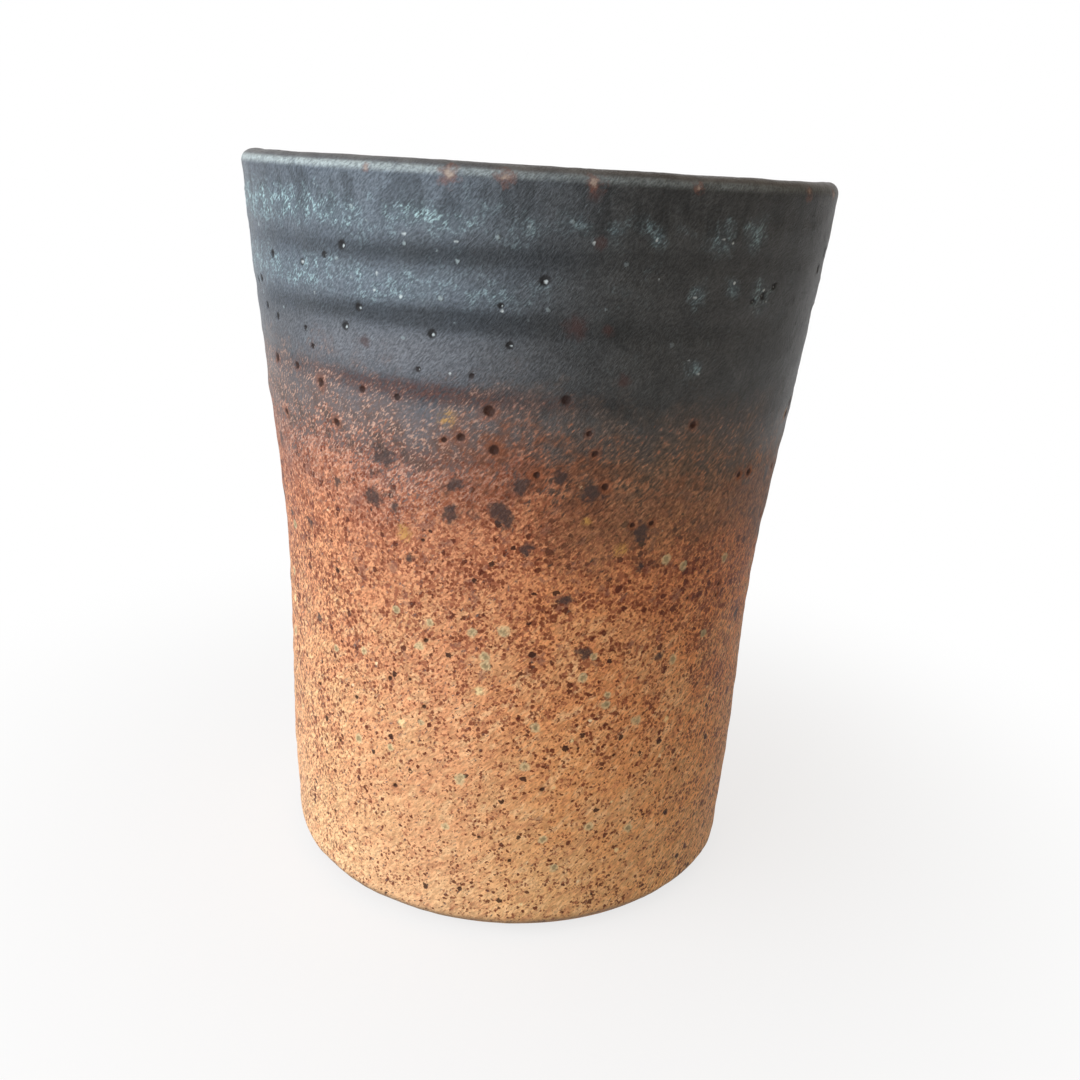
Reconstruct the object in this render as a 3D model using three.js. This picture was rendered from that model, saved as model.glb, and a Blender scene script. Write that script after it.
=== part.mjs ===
// A wheel-thrown stoneware sake cup: a tall tumbler that flares to a rounded lip, with throwing rings
// round its upper wall and a shallow turned foot. The clay carries three fired glaze coats: a dark one
// dipped over the lip, a speckled tan one on the lower wall and a liner inside.
// Millimetres, +Z up, origin at the centre of the plane that the foot rests on.
import * as THREE from "three";

// Clay body: outside outline, from the table up
const CUP_HEIGHT = 75.2;
const HEEL_RADIUS = 2.4;
const FOOT_RADIUS = 25.1;
const BELLY_HEIGHT = 14;
const BELLY_RADIUS = 25.48;
const WAIST_HEIGHT = 33.3;
const WAIST_RADIUS = 25.7;
const FLARE_DROP = 15.2; // below the top of the clay lip
const FLARE_RADIUS = 28.21;
const RIM_RADIUS = 29.6;
const LIP_THICKNESS = 1.7;

// Throwing rings: shallow grooves between broad ridges, counted down from the lip
const RING_COUNT = 4;
const FIRST_RING_DROP = 6.8;
const RING_PITCH = 5.85;
const GROOVE_HALF_WIDTH = 2.9;
const GROOVE_DEPTH = 0.18;

// Inside and foot
const BASE_WALL = 4.2; // wall thickness at floor level, thinning evenly to the lip
const FLOOR_THICKNESS = 4.8;
const FLOOR_CURVE = 9; // radius between floor and wall
const FOOT_RING_WIDTH = 4;
const FOOT_RECESS = 1.2;
const RECESS_BEVEL = 0.9;

// Glaze coats
const DARK_COAT = 0.4;
const WALL_COAT = 0.4;
const LINER_COAT = 0.4;
const GLAZE_LINE_DROP = 24.3; // the dark coat's lower edge, below the top of the clay lip
const LINER_LINE_DROP = 6; // where the dark coat gives way to the liner inside
const GLAZE_HEEL_ANGLE = THREE.MathUtils.degToRad(27); // how far the wall coat runs round the heel

// Facets
const SIDES = 48;
const LOWER_WALL_STEPS = 6;
const STEPS_PER_GROOVE = 4;
const INNER_WALL_STEPS = 6;
const LIP_STEPS = 6;
const HEEL_STEPS = 2; // on each side of the glaze's end
const FLOOR_CURVE_STEPS = 4;
const LEAST_STEP = 0.4; // sampled heights lie at least this far apart

// Heights and centres that the outlines share
const lipRadius = LIP_THICKNESS / 2;
const lipBase = CUP_HEIGHT - lipRadius;
const glazeLine = CUP_HEIGHT - GLAZE_LINE_DROP;
const linerLine = CUP_HEIGHT - LINER_LINE_DROP;
const floorTop = FOOT_RECESS + FLOOR_THICKNESS;
const floorCurveTop = floorTop + FLOOR_CURVE;

const wallCurve = new THREE.CubicInterpolant(
  [HEEL_RADIUS, BELLY_HEIGHT, WAIST_HEIGHT, CUP_HEIGHT - FLARE_DROP, lipBase],
  [FOOT_RADIUS, BELLY_RADIUS, WAIST_RADIUS, FLARE_RADIUS, RIM_RADIUS],
  1,
);

function smoothRadius(z) {
  return wallCurve.evaluate(z)[0];
}

function grooveHeight(ring) {
  return CUP_HEIGHT - FIRST_RING_DROP - ring * RING_PITCH;
}

function grooveDepth(z) {
  let depth = 0;
  for (let ring = 0; ring < RING_COUNT; ring += 1) {
    const across = Math.min(1, Math.abs(z - grooveHeight(ring)) / GROOVE_HALF_WIDTH);
    depth += (GROOVE_DEPTH * (1 + Math.cos(Math.PI * across))) / 2;
  }
  return depth;
}

function outerRadius(z) {
  return smoothRadius(z) - grooveDepth(z);
}

function innerRadius(z) {
  const share = (z - floorTop) / (lipBase - floorTop);
  return smoothRadius(z) - THREE.MathUtils.lerp(BASE_WALL, LIP_THICKNESS, share);
}

const lipCentre = new THREE.Vector2(outerRadius(lipBase) - lipRadius, lipBase);
const heelCentre = new THREE.Vector2(FOOT_RADIUS - HEEL_RADIUS, HEEL_RADIUS);
const floorCurveCentre = new THREE.Vector2(innerRadius(floorCurveTop) - FLOOR_CURVE, floorCurveTop);

// Evenly spaced values from one end to the other, both included
function spaced(from, to, steps) {
  return Array.from({ length: steps + 1 }, (_, step) => THREE.MathUtils.lerp(from, to, step / steps));
}

// The key heights, and those of the others that lie clear of them and of each other, going up
function mergedHeights(keys, others) {
  const heights = [...keys];
  for (const z of others) {
    const inRange = z > Math.min(...keys) && z < Math.max(...keys);
    const isClear = heights.every((kept) => Math.abs(kept - z) > LEAST_STEP);
    if (inRange && isClear) {
      heights.push(z);
    }
  }
  return heights.sort((a, b) => a - b);
}

function grooveSamples() {
  const samples = [];
  for (let ring = 0; ring < RING_COUNT; ring += 1) {
    const low = grooveHeight(ring) - GROOVE_HALF_WIDTH;
    const high = grooveHeight(ring) + GROOVE_HALF_WIDTH;
    samples.push(...spaced(low, high, STEPS_PER_GROOVE));
  }
  return samples;
}

const lowestGroove = grooveHeight(RING_COUNT - 1) - GROOVE_HALF_WIDTH;
const outerHeights = mergedHeights(
  [HEEL_RADIUS, glazeLine, lipBase],
  [...grooveSamples(), ...spaced(HEEL_RADIUS, lowestGroove, LOWER_WALL_STEPS)],
);
const innerHeights = mergedHeights(
  [floorCurveTop, linerLine, lipBase],
  spaced(floorCurveTop, linerLine, INNER_WALL_STEPS),
);
const heelAngles = [
  ...spaced(-Math.PI / 2, -GLAZE_HEEL_ANGLE, HEEL_STEPS),
  ...spaced(-GLAZE_HEEL_ANGLE, 0, HEEL_STEPS).slice(1, -1),
];

function onArc(centre, radius, angle) {
  return new THREE.Vector2(centre.x + radius * Math.cos(angle), centre.y + radius * Math.sin(angle));
}

// Stretches of outline, each at a coat's thickness off the clay: 0 lies on the clay itself
function outerWall(low, high, coat) {
  const heights = outerHeights.filter((z) => z >= low && z <= high);
  return heights.map((z) => new THREE.Vector2(outerRadius(z) + coat, z));
}

function innerWall(low, high, coat) {
  const heights = innerHeights.filter((z) => z >= low && z <= high);
  return heights.map((z) => new THREE.Vector2(innerRadius(z) - coat, z)).reverse();
}

function lipArc(coat) {
  const angles = spaced(0, Math.PI, LIP_STEPS).slice(1, -1);
  return angles.map((angle) => onArc(lipCentre, lipRadius + coat, angle));
}

function heelArc(lowestAngle, coat) {
  const angles = heelAngles.filter((angle) => angle >= lowestAngle);
  return angles.map((angle) => onArc(heelCentre, HEEL_RADIUS + coat, angle));
}

function innerFloor(coat) {
  const angles = spaced(0, -Math.PI / 2, FLOOR_CURVE_STEPS).slice(1);
  const curve = angles.map((angle) => onArc(floorCurveCentre, FLOOR_CURVE - coat, angle));
  return [...curve, new THREE.Vector2(0, floorTop + coat)];
}

// A solid of revolution about +Z. The outline runs up its outside, so that its faces point out.
function turned(name, outline, look) {
  const geometry = new THREE.LatheGeometry(outline, SIDES);
  geometry.rotateX(Math.PI / 2);
  const mesh = new THREE.Mesh(geometry, new THREE.MeshStandardMaterial(look));
  mesh.name = name;
  return mesh;
}

function closedLoop(points) {
  return [...points, points[0].clone()];
}

// The thrown and turned clay: foot ring with its recess, wall with throwing rings, lip and inside
function stonewareBody() {
  const ringInner = heelCentre.x - FOOT_RING_WIDTH;
  const underside = [
    new THREE.Vector2(0, FOOT_RECESS),
    new THREE.Vector2(ringInner - RECESS_BEVEL, FOOT_RECESS),
    new THREE.Vector2(ringInner, 0),
  ];
  const outline = [
    ...underside,
    ...heelArc(-Math.PI / 2, 0),
    ...outerWall(HEEL_RADIUS, lipBase, 0),
    ...lipArc(0),
    ...innerWall(floorCurveTop, lipBase, 0),
    ...innerFloor(0),
  ];
  return turned("stoneware_body", outline, { color: 0xb9875f, roughness: 0.9, metalness: 0 });
}

// The dark satin glaze: from its line on the outer wall, over the lip and a little way inside
function darkRimGlaze() {
  const surface = [
    ...outerWall(glazeLine, lipBase, DARK_COAT),
    ...lipArc(DARK_COAT),
    ...innerWall(linerLine, lipBase, DARK_COAT),
  ];
  const clay = [
    ...outerWall(glazeLine, lipBase, 0),
    ...lipArc(0),
    ...innerWall(linerLine, lipBase, 0),
  ];
  const outline = closedLoop([...surface, ...clay.reverse()]);
  return turned("dark_rim_glaze", outline, { color: 0x4d5157, roughness: 0.45, metalness: 0 });
}

// The iron-speckled tan glaze: from part way round the heel up to the dark coat
function speckledWallGlaze() {
  const surface = [
    ...heelArc(-GLAZE_HEEL_ANGLE, WALL_COAT),
    ...outerWall(HEEL_RADIUS, glazeLine, WALL_COAT),
  ];
  const clay = [
    ...heelArc(-GLAZE_HEEL_ANGLE, 0),
    ...outerWall(HEEL_RADIUS, glazeLine, 0),
  ];
  const outline = closedLoop([...surface, ...clay.reverse()]);
  return turned("speckled_wall_glaze", outline, { color: 0xbe8556, roughness: 0.5, metalness: 0 });
}

// The poured liner: the floor and the inner wall, up to the dark coat
function linerGlaze() {
  const clay = [...innerWall(floorCurveTop, linerLine, 0), ...innerFloor(0)];
  const surface = [...innerWall(floorCurveTop, linerLine, LINER_COAT), ...innerFloor(LINER_COAT)];
  return turned("liner_glaze", [...clay.reverse(), ...surface], {
    color: 0x4a4440,
    roughness: 0.35,
    metalness: 0,
  });
}

const sakeCup = new THREE.Group();
sakeCup.name = "sake_cup";
sakeCup.add(stonewareBody(), darkRimGlaze(), speckledWallGlaze(), linerGlaze());

export default sakeCup;
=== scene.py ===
# A wheel-thrown stoneware sake cup: a dark satin glaze dipped over the rim of a tall tumbler whose
# lower wall carries a tan glaze full of iron specks. The scene is in metres. Outlines and surfaces
# are worked out in millimetres, with +Z up from the table and the photographed side facing -Y, and
# scaled by MM.
import math
from functools import reduce

import bpy
import numpy as np
from mathutils import Matrix, Vector


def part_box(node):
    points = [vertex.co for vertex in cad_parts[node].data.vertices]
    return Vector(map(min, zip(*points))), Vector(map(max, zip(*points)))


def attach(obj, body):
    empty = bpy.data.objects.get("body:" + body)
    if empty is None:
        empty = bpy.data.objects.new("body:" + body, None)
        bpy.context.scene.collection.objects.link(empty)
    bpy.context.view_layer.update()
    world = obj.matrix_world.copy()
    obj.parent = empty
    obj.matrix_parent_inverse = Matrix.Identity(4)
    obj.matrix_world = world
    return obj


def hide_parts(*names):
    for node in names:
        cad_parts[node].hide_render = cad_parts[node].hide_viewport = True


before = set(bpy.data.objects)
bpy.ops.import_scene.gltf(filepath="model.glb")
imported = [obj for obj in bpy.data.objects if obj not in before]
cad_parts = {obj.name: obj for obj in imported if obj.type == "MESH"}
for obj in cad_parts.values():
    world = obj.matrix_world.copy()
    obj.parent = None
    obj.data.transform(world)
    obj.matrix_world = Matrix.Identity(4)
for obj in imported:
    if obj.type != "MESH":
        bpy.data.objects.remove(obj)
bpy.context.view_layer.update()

MM = 0.001

# Sizes read from the frame, mm
rim_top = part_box("dark_rim_glaze")[1].z / MM
rim_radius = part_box("dark_rim_glaze")[1].x / MM
glaze_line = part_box("dark_rim_glaze")[0].z / MM
liner_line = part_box("liner_glaze")[1].z / MM
clay_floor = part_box("liner_glaze")[0].z / MM

# Finished outline, mm
COAT = 0.4
LIP_RADIUS = 1.25
HEEL_RADIUS = 2.4
HEEL_CENTRE = 22.7
GLAZE_HEEL_ANGLE = 27.0  # degrees that the tan glaze runs round the heel
BELLY = (14.0, 25.88)  # height and radius
WAIST = (33.3, 26.1)
FLARE = (60.0, 28.61)
BASE_WALL = 5.0
LIP_WALL = 2.5
FLOOR_CURVE = 8.6
FOOT_RING_INNER = 18.7
FOOT_RECESS = 1.2
RECESS_BEVEL = 0.9

lip_base = rim_top - LIP_RADIUS
floor_top = clay_floor + COAT
floor_curve_top = floor_top + FLOOR_CURVE
heel_station = (HEEL_RADIUS, HEEL_CENTRE + HEEL_RADIUS + COAT)
stations = np.array([heel_station, BELLY, WAIST, FLARE, (lip_base, rim_radius)])
station_heights, station_radii = stations.T
station_slopes = np.gradient(station_radii, station_heights)

# Throwing rings, counted down from the lip, mm
RING_DROPS = (7.2, 13.05, 18.9, 24.75)
RING_STRENGTHS = (1, 1.08, 1, 1)
RING_HALF_WIDTH = 2.9
RING_DEPTH = 0.19
RING_SHARPNESS = 1.6
RING_WANDER = 0.35
RING_WOBBLE = 0.15
RING_PHASES = (1.7, 2.3)  # radians from ring to ring, of the wander and of the wobble
RING_FADING = 0.32
RING_FADING_PHASE = 0.35

# Mesh density: columns round the cup, mm between rows, and points by which outlines are sampled
COLUMNS = 576
OUTER_STEP = 0.3
INNER_COLUMNS = 288
INNER_STEP = 0.5
FOOT_STEP = 0.25
HIDDEN_STEP = 4.0
HIDDEN_ROWS = 5
ARC_SAMPLES = 160
WALL_SAMPLES = 2400

# The dip line of the dark glaze slants: it lies this much lower on the right of the photographed side
DIP_SLANT = 1.6

# Runs, where the dark glaze reaches lower: angle from the front and half width in degrees, reach in mm
DIP_RUNS = (
    (-21, 9, 2.4), (14, 7, 2), (-58, 14, 1.3), (70, 12, 1.6), (105, 9, 2.2),
    (150, 14, 1.8), (186, 8, 2.6), (222, 12, 1.6), (250, 8, 2.2),
)
DIP_RUN_DROPS = (14, 20)  # where the runs set in and where they reach in full

# The glazes' grain leans by a radian in this many mm, and is drawn out upwards where a share is below 1
GRAIN_TWIST = 40.0
GRAIN_STRETCH = 0.75
STREAK_STRETCH = 0.88

# Blemishes of the photographed side: angle from the front in degrees, drop below the lip and radius in mm
PITS = (
    (-6.9, 20, 0.55), (6.3, 18.6, 0.48), (-5.9, 23.4, 0.5), (-11.8, 22.5, 0.42), (-14.9, 22.9, 0.3),
    (-23.9, 19.6, 0.34), (-31.5, 19.5, 0.36), (-38.8, 23.1, 0.42), (-42.3, 19.7, 0.46), (-50, 18.8, 0.4),
    (-59, 18.8, 0.5), (-58, 24, 0.4), (-3.7, 14.2, 0.36), (-17, 13.8, 0.44), (-34.5, 14.1, 0.46),
    (-34, 7.3, 0.46), (1.4, 8.8, 0.5), (12.3, 23.4, 0.36), (10.8, 21.5, 0.3), (31.3, 21, 0.36),
    (47.6, 26.8, 0.34), (51.3, 26.8, 0.4), (-10, 17, 0.3), (-19.5, 16.9, 0.3), (-44.5, 9.2, 0.34),
    (-38.3, 8.3, 0.32), (-31.2, 12.3, 0.42), (-45.4, 15, 0.3), (-55.6, 14.6, 0.38), (-61, 14, 0.38),
    (-43.6, 16.5, 0.3), (-5.4, 11, 0.3), (43, 9.8, 0.32), (46, 9, 0.28), (40.5, 10.2, 0.28),
    (-55, 9, 0.4), (15, 26.5, 0.38), (2, 25.5, 0.34), (21.5, 30.3, 0.3), (25.5, 30.2, 0.3),
)
SLATE_BLOTCHES = (
    (-13.7, 29.7, 0.8), (-25.5, 29.9, 0.5), (-30.4, 29.5, 0.85), (-4.1, 29, 1), (-3, 30, 0.7),
    (-1, 26.5, 0.85), (9.4, 37.6, 0.62), (14.1, 43.1, 0.7), (23.7, 31, 0.9), (12.9, 27, 1),
    (-28, 25.5, 1), (32.3, 44.7, 0.6), (1, 32.6, 0.6), (-22.5, 34.8, 0.5), (-40.5, 29, 0.6),
    (-13, 26.8, 0.7), (6.5, 25.6, 0.7), (24.5, 34.6, 0.55), (-52, 34.5, 0.55), (-51, 44.8, 0.5),
)
CELADON_DOTS = (
    (-2.8, 40.9, 0.6), (-6.3, 43.8, 0.5), (-6.1, 44.7, 0.5), (-9.2, 41.4, 0.46), (14.3, 45.8, 0.5),
    (16.4, 43.6, 0.4), (20.3, 47.8, 0.4), (28, 51.3, 0.55), (4.9, 50.9, 0.5), (3.1, 55.2, 0.5),
    (-10.8, 57.3, 0.6), (18.6, 62.6, 0.5), (8.2, 63.8, 0.5), (11.1, 67.2, 0.5), (29, 63.8, 0.55),
    (-20.8, 43.7, 0.45), (-44.3, 47.1, 0.4), (-36.6, 56, 0.5), (-27.4, 55.5, 0.42), (-13.7, 63, 0.45),
    (30.5, 34.2, 0.5), (35.6, 35.2, 0.5), (48.9, 35.6, 0.55), (36.6, 45.4, 0.5), (45.6, 43.5, 0.45),
    (-26, 40.4, 0.42), (-18.2, 41, 0.36), (-35, 46, 0.4), (-19.8, 51.8, 0.35), (20, 48.9, 0.45),
)
CREAM_GRAINS = (
    (-7.3, 47.4, 0.55), (-24.7, 52.3, 0.55), (-23, 49.5, 0.3), (13, 52.6, 0.28), (36.5, 52, 0.45),
    (9.8, 57.6, 0.25), (23.5, 60.1, 0.28), (-40, 70, 0.5), (26.3, 66.2, 0.36), (4.2, 71.6, 0.25),
)
OCHRE_SPOTS = (
    (-14.3, 20.9, 0.85), (-23.7, 32.5, 0.8), (19.6, 32.7, 0.75), (12, 29.7, 0.5), (-24, 31.9, 0.5),
)
LIP_BREAKS = (
    (-14, 1, 0.9), (-5.5, 1, 0.8), (8, 1.1, 0.8), (25, 1, 0.5), (-28, 1, 0.5),
    (52, 1, 0.7),
)
# Painted highlights: small white glints, listed like the blemishes
GLINTS = (
    (-44.6, 9.2, 0.2), (-26.8, 9.3, 0.22), (-22.5, 11, 0.2), (-41.7, 11.7, 0.2), (-27.6, 10.7, 0.18),
    (-13.8, 17, 0.18), (-21.5, 5.9, 0.24), (-12.8, 6.2, 0.22), (-46.6, 4.5, 0.2), (8.6, 5.7, 0.22),
    (-5.2, 11.4, 0.2), (-39.6, 2.6, 0.16), (31, 5, 0.2), (33, 5.3, 0.18), (18.7, 5.2, 0.2),
    (27.2, 9.8, 0.22), (35, 8.6, 0.18), (43, 9.3, 0.2), (44.5, 10.3, 0.18), (30.4, 16.4, 0.2),
    (27.9, 15.1, 0.18), (20, 8.4, 0.16), (-1.5, 4.6, 0.2),
)
RUST_SPOTS = (
    (7, 12.4, 0.95), (12.5, 12.7, 0.5), (9.5, 5.6, 0.55), (16, 16.8, 0.6), (-30, 15.2, 0.55),
    (8.2, 1.9, 0.6),
)
FROST_SPOTS = (
    (12, 4.9, 1.2), (19, 5, 1.4), (31, 5, 2), (38, 4.6, 2.2), (27.5, 9.7, 1.4),
    (35, 8.9, 1.4), (43, 9.6, 2.2), (29.5, 15.8, 1.2),
)
FRONT_HALF_ANGLE = 62.0  # how far the photographed side reaches from the front
SPOT_REACH = 4.0  # how many radii away a blemish is still noticed
GLINT_DROP = 18.5  # pinholes above this catch the light
PIT_GLINT = (0.2, 0.2, 0.4)  # degrees to the right, then way down and radius in the pinhole's radii

# The frosty ridges of the dark glaze, which on the lit left also serve as painted sheen: drop and half
# height in mm, strength
FROST_RIDGES = ((4.4, 1.6, 1.0), (9.9, 1.7, 0.6))
FRONT_FROST = 0.3
LEFT_FROST_AND_SHEEN = 0.75  # gained to the left, lost to the right
SPOT_FROST = 0.7
SPOT_FROST_REACH = 1.1  # in the spot's radii

# The painted sheen on the dark glaze, its palest stretch: the angle of its middle and its half width in
# degrees
SHEEN_ANGLE = -27.0
SHEEN_WIDTH = 18.0
SHEEN_GAIN = 0.36
SHEEN_LOSS_IN_GROOVES = 0.5
SHEEN_LOSS_AT_LIP = 0.28
SHEEN_LIP_DROPS = (2, 14)
SHEEN_SIDES = (0.25, -0.35)  # sines of the angles where it sets in and where it is full

# Relief of the outer skin, mm, and the drops between which it sets in
PIT_DEPTH = 0.2
PIT_REACH = 1.1  # in the pinhole's radii, like the place and half width of its brim
BRIM_HEIGHT = 0.03
BRIM_PLACE = 1.3
BRIM_WIDTH = 0.35
BLISTER_HEIGHT = 0.05
END_DEPTH = 0.26  # how far the glaze thins at its end on the heel
END_DROPS = (73.4, 74.6)
LIP_INSET = 0.12  # keeps the uneven lip within the even one
LIP_INSET_DROPS = (6, 2)
INSIDE_DROPS = (3.5, 6.2)  # where the relief runs out inside the lip

# Smooth random fields: deviation, wavelength in mm, how many times shorter upwards, seed
OUTER_WAVES = ((0.038, 12, 1, 21), (0.022, 6, 2.2, 22), (0.007, 1.5, 1, 23))
FROST_WAVES = (0.18, 5, 1.5, 25)
LINER_WAVES = (0.04, 11, 1, 31)
GRIT_WAVES = (1, 3, 1, 41)

# They are sums of this many waves, of wavelengths spread between two shares
WAVE_COUNT = 40
WAVE_SPREAD = (0.7, 1.4)

# Camera, fitted to the photograph's outline
CAMERA_DISTANCE = 0.1175
CAMERA_HEIGHT = 0.0755
CAMERA_YAW = -1.01
CAMERA_PITCH = 19.14
CAMERA_ROLL = 3.4
CAMERA_NEAR = 0.005
SENSOR_WIDTH = 36.0
CAMERA_LENS = 35.92


def add_object(name, data):
    made = bpy.data.objects.new(name, data)
    bpy.context.collection.objects.link(made)
    return made


def make_camera():
    data = bpy.data.cameras.new("camera")
    data.sensor_width = SENSOR_WIDTH
    data.lens = CAMERA_LENS
    data.clip_start = CAMERA_NEAR
    camera = add_object("camera", data)
    turn = Matrix.Rotation(math.radians(CAMERA_YAW), 4, "Z")
    lean = Matrix.Rotation(math.radians(90 - CAMERA_PITCH), 4, "X")
    roll = Matrix.Rotation(math.radians(CAMERA_ROLL), 4, "Z")
    stand = Matrix.Translation((0, -CAMERA_DISTANCE, CAMERA_HEIGHT))
    camera.matrix_world = stand @ turn @ lean @ roll
    bpy.context.scene.camera = camera


make_camera()


# Colours

def srgb(red, green, blue):
    """A colour written as it shows on screen, 0 to 255, as the linear colour that shaders take."""
    shares = np.array([red, green, blue]) / 255
    linear = np.where(shares <= 0.04045, shares / 12.92, ((shares + 0.055) / 1.055) ** 2.4)
    return (*linear.tolist(), 1.0)


# The tan glaze: its ground by the drop below the lip, and what lies in it
TAN_BY_DROP = (
    (20, srgb(150, 114, 101)),
    (26, srgb(181, 127, 104)),
    (32, srgb(206, 140, 103)),
    (40, srgb(217, 148, 105)),
    (50, srgb(224, 157, 112)),
    (60, srgb(229, 168, 121)),
    (68, srgb(236, 180, 132)),
    (76, srgb(243, 194, 146)),
)
TAN_SHADED_SIDE_TINT = srgb(255, 247, 224)
TAN_OLIVE = srgb(222, 174, 124)
TAN_PALE = srgb(246, 202, 152)
TAN_RUDDY = srgb(190, 122, 86)
FLECK_BROWN = srgb(146, 80, 54)
SMUDGE_BROWN = srgb(116, 78, 70)
SPECK_RUST = srgb(114, 54, 31)
SPECK_BROWN = srgb(98, 40, 18)
SPECK_DARK = srgb(84, 32, 14)
SPECK_BLACK = srgb(48, 19, 8)
SPECK_PALE = srgb(250, 220, 176)

# The dark glaze
SLATE_GREY = srgb(66, 68, 71)
SLATE_BLUE = srgb(65, 70, 77)
SLATE_SHADED_RIGHT = srgb(61, 61, 60)
# Colours of the painted sheen
PAINTED_SHEEN_BLUE = srgb(110, 119, 128)
PAINTED_SHEEN_GREY = srgb(108, 110, 115)
BLOOM_AND_SHEEN_BLUE = srgb(100, 117, 123)
FROST_PALE = srgb(160, 186, 188)
BUBBLE_GLINT_PALE = srgb(170, 184, 186)
LIP_HIGHLIGHT_PALE = srgb(178, 187, 185)

# The stretch where the two meet
HAZE_LEFT = srgb(108, 92, 88)
HAZE_RIGHT = srgb(92, 79, 70)
RUST_LINE = srgb(96, 55, 45)
CURD_GREY = srgb(80, 66, 60)
PAINTED_SPARKLE_PALE = srgb(206, 168, 148)
OLIVE_BROWN = srgb(104, 85, 65)
EMBER_BROWN = srgb(122, 70, 44)

# Blemishes, the lip and the glaze's end
RUST_DARK = srgb(72, 48, 44)
BLOTCH_SLATE = srgb(59, 48, 46)
OCHRE_YELLOW = srgb(196, 150, 80)
CELADON_PALE = srgb(216, 200, 154)
CELADON_OLIVE = srgb(132, 116, 82)
CREAM_PALE = srgb(252, 224, 166)
PIT_RUST = srgb(146, 80, 46)
PIT_BLACK = srgb(34, 32, 33)
PIT_BROWN = srgb(50, 23, 11)
GLINT_WHITE = srgb(206, 214, 214)
LIP_DARK = srgb(84, 78, 73)
LIP_PALE = srgb(108, 103, 97)
LIP_BROWN = srgb(126, 84, 70)
LIP_BARE = srgb(196, 178, 160)
END_BROWN = srgb(104, 84, 60)

# The liner, the clay and the floor
LINER_DARK = srgb(70, 66, 64)
LINER_PALE = srgb(84, 78, 74)
LINER_BROWN = srgb(112, 82, 66)
LINER_SLATE = srgb(65, 68, 73)
LINER_BLUE = srgb(58, 64, 72)
CLAY_DARK = srgb(176, 128, 92)
CLAY_PALE = srgb(198, 150, 112)
CLAY_SPECK = srgb(84, 52, 38)
FLOOR_LIT = srgb(202, 196, 190)
FLOOR_SHOWN = srgb(240, 240, 240)
WHITE = (1, 1, 1, 1)

# Refractive indices: the lower, the weaker the reflection
OUTER_INDEX = 1.28
LINER_INDEX = 1.4
CLAY_INDEX = 1.5


# Shader graphs

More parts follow.
